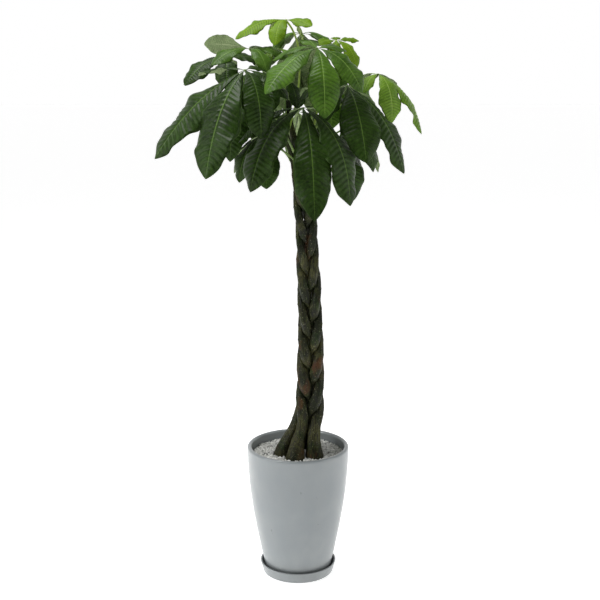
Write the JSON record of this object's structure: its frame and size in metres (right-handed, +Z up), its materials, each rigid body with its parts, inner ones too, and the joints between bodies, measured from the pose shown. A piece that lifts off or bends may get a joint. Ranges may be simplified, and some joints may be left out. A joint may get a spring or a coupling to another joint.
{
  "type": "potted money tree",
  "caption": "Tall indoor tree with a plaited trunk and a crown of hand-shaped leaves, in a tapered round glazed planter topped with pale gravel, standing on a saucer.",
  "frame": {"origin": "centre of the saucer's flat underside", "axes": "+Z up the trunk to the crown, -Y towards the side that shows the lowest leaves, +X to its right"},
  "size_m": [0.6756, 0.6289, 1.5159],
  "materials": {
    "grey_glaze": "smooth pale blue-grey glaze, satin gloss",
    "potting_soil": "damp dark potting mix, rough",
    "pale_gravel": "white to grey angular chips, matt",
    "bark": "grey-green to brown young bark, finely ridged, matt",
    "mature_leaf": "dark green, waxy gloss above and matt grey-green below",
    "young_leaf": "lime green, thin, soft gloss"
  },
  "bodies": {
    "root": {"gravel": "pale_gravel", "leaf_back_left": "mature_leaf", "leaf_back_low": "mature_leaf", "leaf_back_right": "mature_leaf", "leaf_back_top": "mature_leaf", "leaf_front_left": "mature_leaf", "leaf_front_low": "mature_leaf", "leaf_front_right": "mature_leaf", "leaf_hidden_left": "mature_leaf", "leaf_hidden_right": "mature_leaf", "leaf_inner_left": "mature_leaf", "leaf_inner_right": "mature_leaf", "leaf_left": "mature_leaf", "leaf_left_low": "mature_leaf", "leaf_middle": "mature_leaf", "leaf_right": "mature_leaf", "leaf_right_back": "mature_leaf", "leaf_right_low": "mature_leaf", "leaf_top": "young_leaf", "leaf_upper_back": "mature_leaf", "leaf_upper_left": "mature_leaf", "leaf_young_right": "young_leaf", "pot": "grey_glaze", "saucer": "grey_glaze", "soil": "potting_soil", "stem_1": "bark", "stem_2": "bark", "stem_3": "bark", "stem_4": "bark", "stem_5": "bark"}
  },
  "joints": []
}
